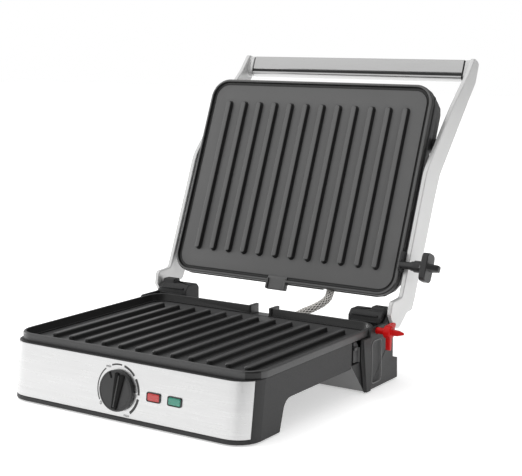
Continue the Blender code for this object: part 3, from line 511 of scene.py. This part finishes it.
bezel_look = finish("lens_frame", (0.015, 0.015, 0.015), (0.025, 0.025, 0.025), (0.25, 0.36))
LENS_LOOKS = {"red": ((0.2, 0.004, 0.004), (0.55, 0.02, 0.02)),
              "green": ((0.003, 0.09, 0.06), (0.012, 0.28, 0.19))}
LENS_HALF = (7.0 * MM, 3.7 * MM)
LENS_CORNER = 1.6 * MM
LENS_CROWN = [(0.05 * MM, 1.1 * MM), (0.12 * MM, 0.25 * MM), (0.25 * MM, 0.2 * MM),
              (0.45 * MM, 0.12 * MM), (0.5 * MM, 0.05 * MM)]
FRAME_HALF = [half + 0.9 * MM for half in LENS_HALF]
FRAME_CORNER = 1.8 * MM
FRAME_SECTION = [(0.1 * MM, 1.2 * MM), (0.2 * MM, 0.2 * MM), (0.3 * MM, 0),
                 (0.15 * MM, -0.5 * MM), (0.25 * MM, -0.5 * MM)]
for colour, (deep, bright) in LENS_LOOKS.items():
    low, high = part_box(f"{colour}_lens")
    middle = panel_plane.inverted() @ ((low + high) / 2)
    lens = bmesh.new()
    back = round_outline(lens, *LENS_HALF, LENS_CORNER, 6, (middle.x, middle.y, -0.4 * MM))
    raise_up(lens, back, LENS_CROWN)
    bmesh.ops.transform(lens, matrix=panel_plane, verts=lens.verts)
    acrylic = lens_look(f"{colour}_acrylic", deep, bright)
    take_over(link_piece(f"{colour}_signal_lens", lens, acrylic), f"{colour}_lens")
    bezel = bmesh.new()
    back = round_outline(bezel, *FRAME_HALF, FRAME_CORNER, 6, (middle.x, middle.y, 0.02 * MM))
    raise_up(bezel, back, FRAME_SECTION)
    bmesh.ops.transform(bezel, matrix=panel_plane, verts=bezel.verts)
    added(link_piece(f"{colour}_lens_frame", bezel, bezel_look), "base")

glass = finish("lamp_glass", (0.8, 0.8, 0.78), (0.86, 0.86, 0.84), (0.05, 0.12), cloud=300.0)
sockets(glass)["Transmission Weight"].default_value = 0.9
ceramic = finish("steatite", (0.68, 0.65, 0.57), (0.78, 0.75, 0.68), (0.5, 0.7), cloud=150.0)
dress(glass, "red_pilot_lamp", "green_pilot_lamp")
dress(ceramic, "thermostat")

# ---------------------------------------------------------------- cooking plates
# Two aluminium castings with a rolled rim, twelve round-topped ribs and a spout for the fat,
# sprayed with a non-stick coat. The coat is near black on the lower plate and dark grey on the
# upper one. A blacker coat is painted shade: it lies on the flanks of the ribs that do not face
# left, inside the rim, in the upper plate's moat and on its outer side wall.
PLATE_DEPTH = 234 * MM
PLATE_EDGE = PLATE_DEPTH / 2
RIM_RADIUS = 22 * MM
RIB_COUNT = 12
RIB_PITCH = 21 * MM
RIB_HALF_LENGTH = 90 * MM
RIB_HEIGHT = 5 * MM
RIB_FOOT = 5.0 * MM
RIB_CROWN = 2.1 * MM
RIB_FLANK = [(0.7 * MM, 0.3 * MM), (0.5 * MM, 0.5 * MM), (0.3 * MM, 0.8 * MM), (0.1 * MM, 1.9 * MM)]
RIB_SINK = 0.3 * MM
RIB_FIELD_MARGIN = 12 * MM
RIM_ROLL = 2.0 * MM
WALL_LEAN = 0.12
FLANGE_WIDTH = 5.5 * MM
FLANK_STEEP = 0.78
FACES_LEFT = -0.2
MOAT_FLOOR = -0.25 * MM
SPOUT_X = -1.5 * MM
SPOUT_HALF = 11.5 * MM
SPOUT_WALL = 4 * MM


def coat(name, dark, light, rough):
    """Sprayed non-stick coat: an orange-peel relief under slow clouds of tone."""
    return finish(name, dark, light, rough, cloud=14.0, grain=900.0, relief=0.00006)


lower_coat = coat("lower_nonstick", (0.038, 0.038, 0.0385), (0.052, 0.052, 0.0525), (0.34, 0.46))
upper_coat = coat("upper_nonstick", (0.072, 0.072, 0.072), (0.09, 0.09, 0.09), (0.42, 0.52))
# Painted shade: a near-black copy of the coat for the faces where shade falls on the plates.
painted_shade_coat = coat("nonstick_painted_shade", (0.006, 0.006, 0.006), (0.01, 0.01, 0.01), (0.35, 0.45))


def rolled_inside(radius, last, count):
    """The (inward, up) steps that turn from a level rim down into a wall."""
    turns = [math.radians(last * i / count) for i in range(count + 1)]
    return [(radius * (math.sin(b) - math.sin(a)), radius * (math.cos(b) - math.cos(a)))
            for a, b in zip(turns, turns[1:])]


RIM_INSIDE = rolled_inside(1.1 * MM, 80, 5)
FLOOR_FILLET = [(0.35 * MM, -0.6 * MM), (0.5 * MM, -0.35 * MM), (0.8 * MM, -0.2 * MM)]
MOAT_STEP = [(0.3 * MM, 0.2 * MM), (0.5 * MM, 0.1 * MM)]
RIM_DROP = -sum(up for inward, up in RIM_INSIDE + FLOOR_FILLET)


def carve(piece, cutter, operation):
    """Cuts or joins a bmesh with a finished piece, for good."""
    other = link_piece("cutter", cutter, piece.data.materials[0])
    boolean = piece.modifiers.new("carve", "BOOLEAN")
    boolean.operation = operation
    boolean.solver = "MANIFOLD"
    boolean.object = other
    result = settled_mesh(piece)
    piece.modifiers.remove(boolean)
    piece.data = result
    bpy.data.objects.remove(other)
    result.shade_smooth()
    result.set_sharp_from_angle(angle=SHARP_OVER)


def soft_block(x, y, z, radius):
    """A block between pairs of limits, with rounded edges where it has a radius."""
    shape = bmesh.new()
    spans = (x, y, z)
    bmesh.ops.create_cube(shape, size=1.0)
    bmesh.ops.scale(shape, vec=[end - start for start, end in spans], verts=shape.verts)
    bmesh.ops.translate(shape, vec=[(start + end) / 2 for start, end in spans], verts=shape.verts)
    if radius:
        bmesh.ops.bevel(shape, geom=shape.edges[:], offset=radius, segments=3, profile=0.5,
                        affect="EDGES", material=-1)
    return shape


def cooking_plate(name, look, half_x, rim, flange, pan, spout_side, spout_walls, moat=0.0):
    """A ribbed plate with its floor at z = 0 and its face up."""
    shape = bmesh.new()
    outline = round_outline(shape, half_x, PLATE_EDGE, RIM_RADIUS, 14, (0, 0, flange))
    top = extrude_up(shape, outline, rim - RIM_ROLL - flange)
    bottom = min(shape.faces, key=lambda f: f.calc_center_median().z)
    step_in(shape, bottom, [(FLANGE_WIDTH, 0), (0.5 * MM, flange - pan)])
    step_in(shape, top, roll(RIM_ROLL, 0, 90, 7) + [(0.2 * MM, 0)] + RIM_INSIDE
            + [(WALL_LEAN * (rim - RIM_DROP + moat), RIM_DROP - rim - moat)] + FLOOR_FILLET)
    if moat:
        step_in(shape, top, [(1.2 * MM, 0), (0.3 * MM, moat - 0.3 * MM)] + MOAT_STEP)
    slab = link_piece(name, shape, look)
    mouth = sorted((spout_side * (PLATE_EDGE - 9 * MM), spout_side * (PLATE_EDGE + 20 * MM)))
    carve(slab, soft_block((SPOUT_X - SPOUT_HALF, SPOUT_X + SPOUT_HALF), mouth,
                           (0.2 * MM, rim + 5 * MM), 0), "DIFFERENCE")
    for wall in spout_walls:
        carve(slab, soft_block(*wall, 0.9 * MM), "UNION")
    ribbed = bmesh.new()
    ribbed.from_mesh(slab.data)
    bpy.data.objects.remove(slab)
    for number in range(RIB_COUNT):
        along = (number - (RIB_COUNT - 1) / 2) * RIB_PITCH
        foot = round_outline(ribbed, RIB_FOOT, RIB_HALF_LENGTH + 1.1 * MM, 0.95 * RIB_FOOT, 7,
                             (along, 0, -RIB_SINK))
        raise_up(ribbed, foot, RIB_FLANK + roll(RIB_CROWN, 10, 84, 7) + [(0.4 * MM, 0.02 * MM)])
    plate = link_piece(name, ribbed, look)
    # Painted shade: inside the rim, the steep rib flanks that do not face left, the steep inner rim
    # walls and the moat take the near-black coat, and so does the upper plate's outer side wall.
    plate.data.materials.append(painted_shade_coat)
    for face in plate.data.polygons:
        across, along = abs(face.center.x), abs(face.center.y)
        on_ribs = along < RIB_HALF_LENGTH + RIB_FOOT and across < half_x - RIB_FIELD_MARGIN
        within = across < half_x - RIM_ROLL and along < PLATE_EDGE - RIM_ROLL
        steep = face.center.z > 0 and abs(face.normal.z) < FLANK_STEEP
        shaded = face.normal.x > FACES_LEFT or not on_ribs
        in_moat = face.center.z < MOAT_FLOOR and face.normal.z > -0.5
        skirt = moat and not within and abs(face.normal.z) < FLANK_STEEP / 2
        if skirt or within and (steep and shaded or in_moat):
            face.material_index = 1
    return plate


def drop_in(piece, place):
    """Moves a finished piece's mesh to its place."""
    piece.data.transform(place)
    piece.data.update()


LOWER_RIM = 9.0 * MM
LOWER_FLANGE = 1.3 * MM
LOWER_PAN = -4.0 * MM
CHANNEL_END = PLATE_EDGE + 11.6 * MM
low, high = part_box("lower_plate")
channel = [(sorted((SPOUT_X + side * SPOUT_HALF, SPOUT_X + side * (SPOUT_HALF + SPOUT_WALL))),
            (PLATE_EDGE - 5 * MM, CHANNEL_END), (-3 * MM, 9.6 * MM)) for side in (-1, 1)]
channel.append(((SPOUT_X - SPOUT_HALF - 1 * MM, SPOUT_X + SPOUT_HALF + 1 * MM),
                (PLATE_EDGE - 7 * MM, CHANNEL_END), (-3.4 * MM, -0.4 * MM)))
lower = cooking_plate("lower_grill_plate", lower_coat, (high.x - low.x) / 2, LOWER_RIM,
                      LOWER_FLANGE, LOWER_PAN, 1, channel)
drop_in(lower, Matrix.Translation(((low.x + high.x) / 2, low.y + PLATE_EDGE, low.z - LOWER_PAN)))
take_over(lower, "lower_plate")

hinge = Vector(joints["arm_hinge"]["pos_m"])
lift = Vector(joints["upper_plate_lift"]["axis"])
OPEN_ANGLE = math.atan2(-lift.y, lift.z)
lid_place = (Matrix.Translation(hinge) @ Matrix.Rotation(OPEN_ANGLE, 4, "X")
             @ Matrix.Translation(-hinge))


def closed_box(node):
    """A lid node's lowest and highest corners with the lid shut."""
    shut = lid_place.inverted()
    corners = [shut @ v.co for v in frame["nodes"][node].data.vertices]
    return (Vector([min(c[i] for c in corners) for i in range(3)]),
            Vector([max(c[i] for c in corners) for i in range(3)]))


UPPER_RIM = 2.5 * MM
UPPER_FLANGE = -4.7 * MM
UPPER_PAN = -6.8 * MM
UPPER_MOAT = 1.4 * MM
TAB_HALF = 12.5 * MM
TAB_END = -PLATE_EDGE - 8.3 * MM
low, high = closed_box("upper_plate")
fat_tab = [((SPOUT_X - TAB_HALF, SPOUT_X + TAB_HALF), (TAB_END, -PLATE_EDGE + 7 * MM),
            (-4.5 * MM, 0.1 * MM))]
for side in (-1, 1):
    lip = sorted((SPOUT_X + side * (TAB_HALF - 2.4 * MM), SPOUT_X + side * (TAB_HALF + 0.3 * MM)))
    fat_tab.append((lip, (TAB_END + 0.2 * MM, -PLATE_EDGE + 4 * MM), (-4.3 * MM, 2.2 * MM)))
upper = cooking_plate("upper_grill_plate", upper_coat, (high.x - low.x) / 2, UPPER_RIM,
                      UPPER_FLANGE, UPPER_PAN, -1, fat_tab, moat=UPPER_MOAT)
drop_in(upper, lid_place
        @ Matrix.Translation(((low.x + high.x) / 2, low.y + PLATE_EDGE, low.z + RIB_HEIGHT))
        @ turn(180, "X"))
take_over(upper, "upper_plate")

# ---------------------------------------------------------------- heaters
# Steel-sheathed elements clipped under both plates and browned by heat, over reflectors pressed
# from aluminised sheet. They show only when a plate is lifted off.
sheath = finish("heated_sheath", (0.1, 0.085, 0.08), (0.2, 0.17, 0.15), (0.4, 0.6), metallic=0.9,
                cloud=90.0)
tin = finish("aluminised_sheet", (0.55, 0.55, 0.55), (0.68, 0.68, 0.67), (0.28, 0.42),
             metallic=1.0, cloud=60.0)
dress(sheath, "lower_heating_element", "upper_heating_element")
dress(tin, "lower_reflector", "upper_reflector")

# ---------------------------------------------------------------- hinge
# Two moulded blocks carry the steel pins that the arms turn on, and a cover with a folded
# front rib closes each side of the wiring room. The blocks hold the friction washers.
for side in ("left", "right"):
    rounded_copy(f"{side}_hinge_block", f"{side}_pivot_block", moulded, 0.8 * MM, 3)
    rounded_copy(f"{side}_hinge_bracket", f"{side}_side_cover", moulded, 0.5 * MM, 2)
    rounded_copy(f"{side}_plate_latch", f"{side}_latch_button", satin_black, 0.4 * MM, 2)
    dress(zinc, f"{side}_hinge_pin", f"{side}_tilt_pin")

BEAD_WIDE = 0.9 * MM
BEAD_PROUD = 0.45 * MM
RIDGES = ((8, 10.2), (14.5, 16.7), (21, 23.2))
# Painted highlight: the raised bead round each side cover is a lighter grey that stands for the
# light caught on its edge.
painted_highlight_nylon = finish("nylon_painted_highlight", (0.09, 0.09, 0.09), (0.14, 0.14, 0.14), (0.35, 0.45),
                   grain=1500.0, relief=0.00002)
for side, out in (("left", -1), ("right", 1)):
    low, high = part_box(f"{side}_hinge_bracket")
    outer = max(out * low.x, out * high.x) * out
    line = bmesh.new()
    panel = round_outline(line, 10.5 * MM, 22.5 * MM, 5 * MM, 6)
    bmesh.ops.inset_region(line, faces=[panel], thickness=BEAD_WIDE, use_boundary=True,
                           use_even_offset=True)
    bmesh.ops.delete(line, geom=[panel], context="FACES_ONLY")
    bmesh.ops.solidify(line, geom=line.faces[:], thickness=2 * BEAD_PROUD)
    stand = Matrix.Translation((outer - out * 0.5 * MM, low.y + 29.5 * MM, low.z + 28.5 * MM))
    bmesh.ops.transform(line, matrix=stand @ turn(90) @ turn(90, "X"), verts=line.verts)
    added(link_piece(f"{side}_cover_bead", line, painted_highlight_nylon), "base")

    low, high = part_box(f"{side}_hinge_block")
    for number, (under, over) in enumerate(RIDGES, 1):
        ridge = soft_block((low.x + 4 * MM, high.x - 4 * MM), (low.y - 0.9 * MM, low.y + 2 * MM),
                           (low.z + under * MM, low.z + over * MM), 0.7 * MM)
        added(link_piece(f"{side}_block_ridge_{number}", ridge, moulded), "base")

# ---------------------------------------------------------------- arms
# Two die-cast aluminium arms in a silver satin lacquer, cranked round the hinge blocks. Each
# ends in a socket for the handle, and their long edges are rounded by the casting die.
lacquer = finish("silver_lacquer", (0.55, 0.55, 0.55), (0.62, 0.62, 0.615), (0.28, 0.38),
                 metallic=0.5, cloud=18.0, grain=2200.0, relief=0.00002)
for side in ("left", "right"):
    rounded_copy(f"{side}_arm", f"{side}_cast_arm", lacquer, 0.9 * MM, 3)

# ---------------------------------------------------------------- handle
# A drawn aluminium bar with a flattened section, brushed along its length, held between the
# arms over a dark gasket at each end.
bar_look = finish("brushed_bar", (0.5, 0.5, 0.5), (0.6, 0.6, 0.595), (0.26, 0.4), metallic=1.0,
                  cloud=30.0, grain=900.0, relief=0.000006, stretch=(0.03, 1, 1))
low, high = closed_box("handle_bar")
bar_length = high.x - low.x
bar_half = (high.z - low.z) / 2
bar_middle = (low + high) / 2
bead_side = high.y - bar_middle.y
BEAD_RADIUS = 3.1 * MM
BEAD_CREASE = 0.9 * MM
bar_place = (lid_place @ Matrix.Translation(bar_middle) @ turn(90, "Y")
             @ Matrix.Translation((0, 0, -bar_length / 2)))


def drawn_bar(name, shape, section, look):
    """A bar of one section, as long as the gap between the arms."""
    extrude_up(shape, section, bar_length)
    bmesh.ops.transform(shape, matrix=bar_place, verts=shape.verts)
    return link_piece(name, shape, look)


flat_half = (high.y - low.y - 2 * BEAD_RADIUS - BEAD_CREASE) / 2
flat = bmesh.new()
section = round_outline(flat, bar_half, flat_half, 2.2 * MM, 6, (0, flat_half - bead_side, 0))
take_over(drawn_bar("grip_bar", flat, section, bar_look), "handle_bar")

bead = bmesh.new()
bmesh.ops.create_circle(bead, cap_ends=True, segments=40, radius=BEAD_RADIUS)
bmesh.ops.translate(bead, vec=(0, bead_side - BEAD_RADIUS, 0), verts=bead.verts)
bmesh.ops.scale(bead, vec=(bar_half / BEAD_RADIUS + 0.02, 1, 1), verts=bead.verts)
added(drawn_bar("grip_bead", bead, bead.faces[:][0], bar_look), "lid_arms")

# Painted shade: a near-black strip fills the gap between the flat bar and the bead, standing for the
# shade and dark reflection in the crease.
crease_painted_shade = finish("painted_shade_strip", (0.006, 0.006, 0.006), (0.01, 0.01, 0.01), (0.5, 0.6))
crease = bmesh.new()
section = round_outline(crease, bar_half - 0.9 * MM, 2.6 * MM, 0.8 * MM, 4,
                        (0, bead_side - 2 * BEAD_RADIUS, 0))
added(drawn_bar("grip_crease", crease, section, crease_painted_shade), "lid_arms")

rubber = finish("black_rubber", (0.02, 0.02, 0.02), (0.032, 0.032, 0.032), (0.7, 0.85),
                grain=1200.0, relief=0.00006)
for side in ("left", "right"):
    rounded_copy(f"{side}_handle_seal", f"{side}_gasket", rubber, 0.2 * MM, 2)

# ---------------------------------------------------------------- floating head
# The black upper casing hangs on two pins between the arms. It is one moulding, domed over
# the front, where the hand could touch it, so that air stays between it and the reflector.
rounded_copy("upper_housing", "head_casing", moulded, 0.8 * MM, 3)

# ---------------------------------------------------------------- height stop
# A cross-handled knob on the right of the head, on a bracket that passes under the arm. It
# turns an eccentric that holds the head off the lower plate.
rounded_copy("height_knob_bracket", "height_stop_bracket", moulded, 0.4 * MM, 2)
rounded_copy("height_knob", "height_stop_knob", satin_black, 0.9 * MM, 3)

COLLAR_STEPS = ((0, 6.2), (7.5, 6.2), (8.3, 5.4), (9.6, 5.4), (10.4, 6.8), (15.5, 6.8), (16.3, 6.0))
COLLAR_SIDES = 48
COLLAR_BACK = 27.5 * MM
collar = bmesh.new()
profile = [(0, 0), *COLLAR_STEPS, (COLLAR_STEPS[-1][0], 0)]
points = [collar.verts.new((along * MM, 0, radius * MM)) for along, radius in profile]
lines = [collar.edges.new(pair) for pair in zip(points, points[1:])]
bmesh.ops.spin(collar, geom=points + lines, cent=(0, 0, 0), axis=(1, 0, 0), angle=2 * math.pi,
               steps=COLLAR_SIDES, use_merge=True)
low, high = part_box("height_knob")
turning = joints["height_knob_turn"]["pos_m"]
bmesh.ops.translate(collar, vec=(high.x - COLLAR_BACK, turning[1], turning[2]), verts=collar.verts)
added(link_piece("height_stop_collar", collar, satin_black), "height_knob")

# ---------------------------------------------------------------- release lever
# A bright red moulded lever, pressed onto its spindle beside the right hinge. It frees the hinge
# so that the lid can be laid flat.
signal_red = finish("signal_red", (0.32, 0.001, 0.001), (0.5, 0.003, 0.003), (0.34, 0.44),
                    cloud=90.0, relief=0.00001)
sockets(signal_red)["Specular IOR Level"].default_value = 0.25
rounded_copy("release_lever", "flat_release_lever", signal_red, 0.5 * MM, 3)

# ---------------------------------------------------------------- wire conduit
# A braided glass-fibre sleeve over a dark lining, which carries the upper element's wires across
# the hinge. Its ends are held in the lid and in the base, and it runs in a fixed curve between them.
braid = finish("glass_braid", (0.5, 0.48, 0.45), (0.82, 0.8, 0.77), (0.4, 0.55), cloud=500.0,
               grain=2600.0, relief=0.00005)
core_look = finish("sleeve_core", (0.03, 0.028, 0.025), (0.06, 0.055, 0.05), (0.7, 0.85),
                   cloud=400.0)
SLEEVE_PATH = [Vector(point) * MM for point in (
    (42.1, 66.5, 88.4), (42.3, 64.1, 82), (41.1, 61.1, 76), (36.1, 57.1, 70.5), (26.6, 52, 64.5),
    (17.6, 46.5, 60), (12.1, 41.5, 55), (10.7, 38.9, 49), (10.7, 38.5, 41))]
SLEEVE_RADIUS = 4.2 * MM
STRANDS = 8
STRAND_RADIUS = 0.5 * MM
WEAVE = 0.35 * MM
TURNS = 1.9
STEPS = 90


def smooth_route(corners, steps):
    """Evenly numbered points on one smooth curve through the corners."""
    ends = [2 * corners[0] - corners[1]] + corners + [2 * corners[-1] - corners[-2]]
    route = []
    for step in range(steps + 1):
        at = step / steps * (len(corners) - 1)
        first = min(int(at), len(corners) - 2)
        t = at - first
        a, b, c, d = ends[first:first + 4]
        route.append(0.5 * (2 * b + (c - a) * t + (2 * a - 5 * b + 4 * c - d) * t * t
                            + (3 * b - a - 3 * c + d) * t ** 3))
    return route


route = smooth_route(SLEEVE_PATH, STEPS)
frames = []
side_way = Vector((0, 1, 0))
for number, point in enumerate(route):
    along = (route[min(number + 1, STEPS)] - route[max(number - 1, 0)]).normalized()
    side_way = (side_way - along * side_way.dot(along)).normalized()
    frames.append((point, side_way.copy(), along.cross(side_way)))


def round_wire(name, radius, fineness):
    """An empty curve that draws as round wire with closed ends."""
    wire = bpy.data.curves.new(name, "CURVE")
    wire.dimensions = "3D"
    wire.bevel_depth = radius
    wire.bevel_resolution = fineness
    wire.use_fill_caps = True
    return wire


def run_through(wire, points):
    """Adds one run of wire through the points."""
    spline = wire.splines.new("POLY")
    spline.points.add(len(points) - 1)
    for held, point in zip(spline.points, points):
        held.co = (*point, 1)


strands = round_wire("sleeve_strands", STRAND_RADIUS, 1)
for hand in (-1, 1):
    for strand in range(STRANDS):
        run = []
        for number, (point, first_way, second_way) in enumerate(frames):
            angle = 2 * math.pi * (strand / STRANDS + hand * TURNS * number / STEPS)
            over = hand * WEAVE * math.cos(2 * math.pi * TURNS * STRANDS * number / STEPS)
            out = SLEEVE_RADIUS - STRAND_RADIUS + over
            run.append(point + out * (math.cos(angle) * first_way + math.sin(angle) * second_way))
        run_through(strands, run)
core = round_wire("sleeve_core", SLEEVE_RADIUS - 2.2 * STRAND_RADIUS, 4)
run_through(core, route)

sleeve = link_piece("braided_sleeve", drawn_shape(strands), braid)
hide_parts("conduit_sleeve")
lining = link_piece("sleeve_lining", drawn_shape(core), core_look)
for piece in (sleeve, lining):
    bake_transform(piece)

# ---------------------------------------------------------------- tray, feet and inlet
# The drip tray pulls out at the back. The feet are plugs of soft rubber, and a rubber gland
# in the rear wall waits for the mains lead.
rounded_copy("drip_tray", "grease_tray", moulded, 0.5 * MM, 2)
for corner in ("front_left", "front_right", "rear_left", "rear_right"):
    rounded_copy(f"{corner}_foot", f"{corner}_pad", rubber, 0.4 * MM, 2)
rounded_copy("mains_inlet_gland", "lead_gland", rubber, 0.3 * MM, 2)
